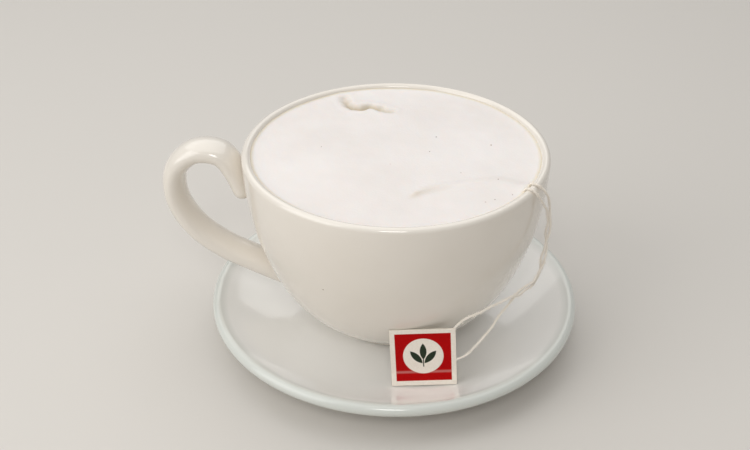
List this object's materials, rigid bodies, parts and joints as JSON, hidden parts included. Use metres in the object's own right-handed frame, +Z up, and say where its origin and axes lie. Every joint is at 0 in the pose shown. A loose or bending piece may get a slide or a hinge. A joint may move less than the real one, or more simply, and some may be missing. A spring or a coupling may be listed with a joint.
{
  "type": "cup of tea with milk",
  "caption": "Wide bowl-shaped tea cup with an open loop handle on a shallow saucer, filled with frothy milk tea, its paper tag leaning on the cup at the end of cotton threads.",
  "frame": {"origin": "Centre of the saucer's foot ring, on the plane that it stands on.", "axes": "+Z points up out of the cup. The cup's handle points along -X. The tag leans against the cup's -Y side."},
  "size_m": [0.1732, 0.155, 0.0864],
  "materials": {
    "cup": "gloss",
    "saucer": "gloss",
    "milk_tea": "matte",
    "tag": "matte",
    "thread": "matte"
  },
  "bodies": {
    "root": {"cup": "cup", "saucer": "saucer", "milk_tea": "milk_tea", "tag": "tag", "thread_a": "thread", "thread_b": "thread"}
  },
  "joints": []
}
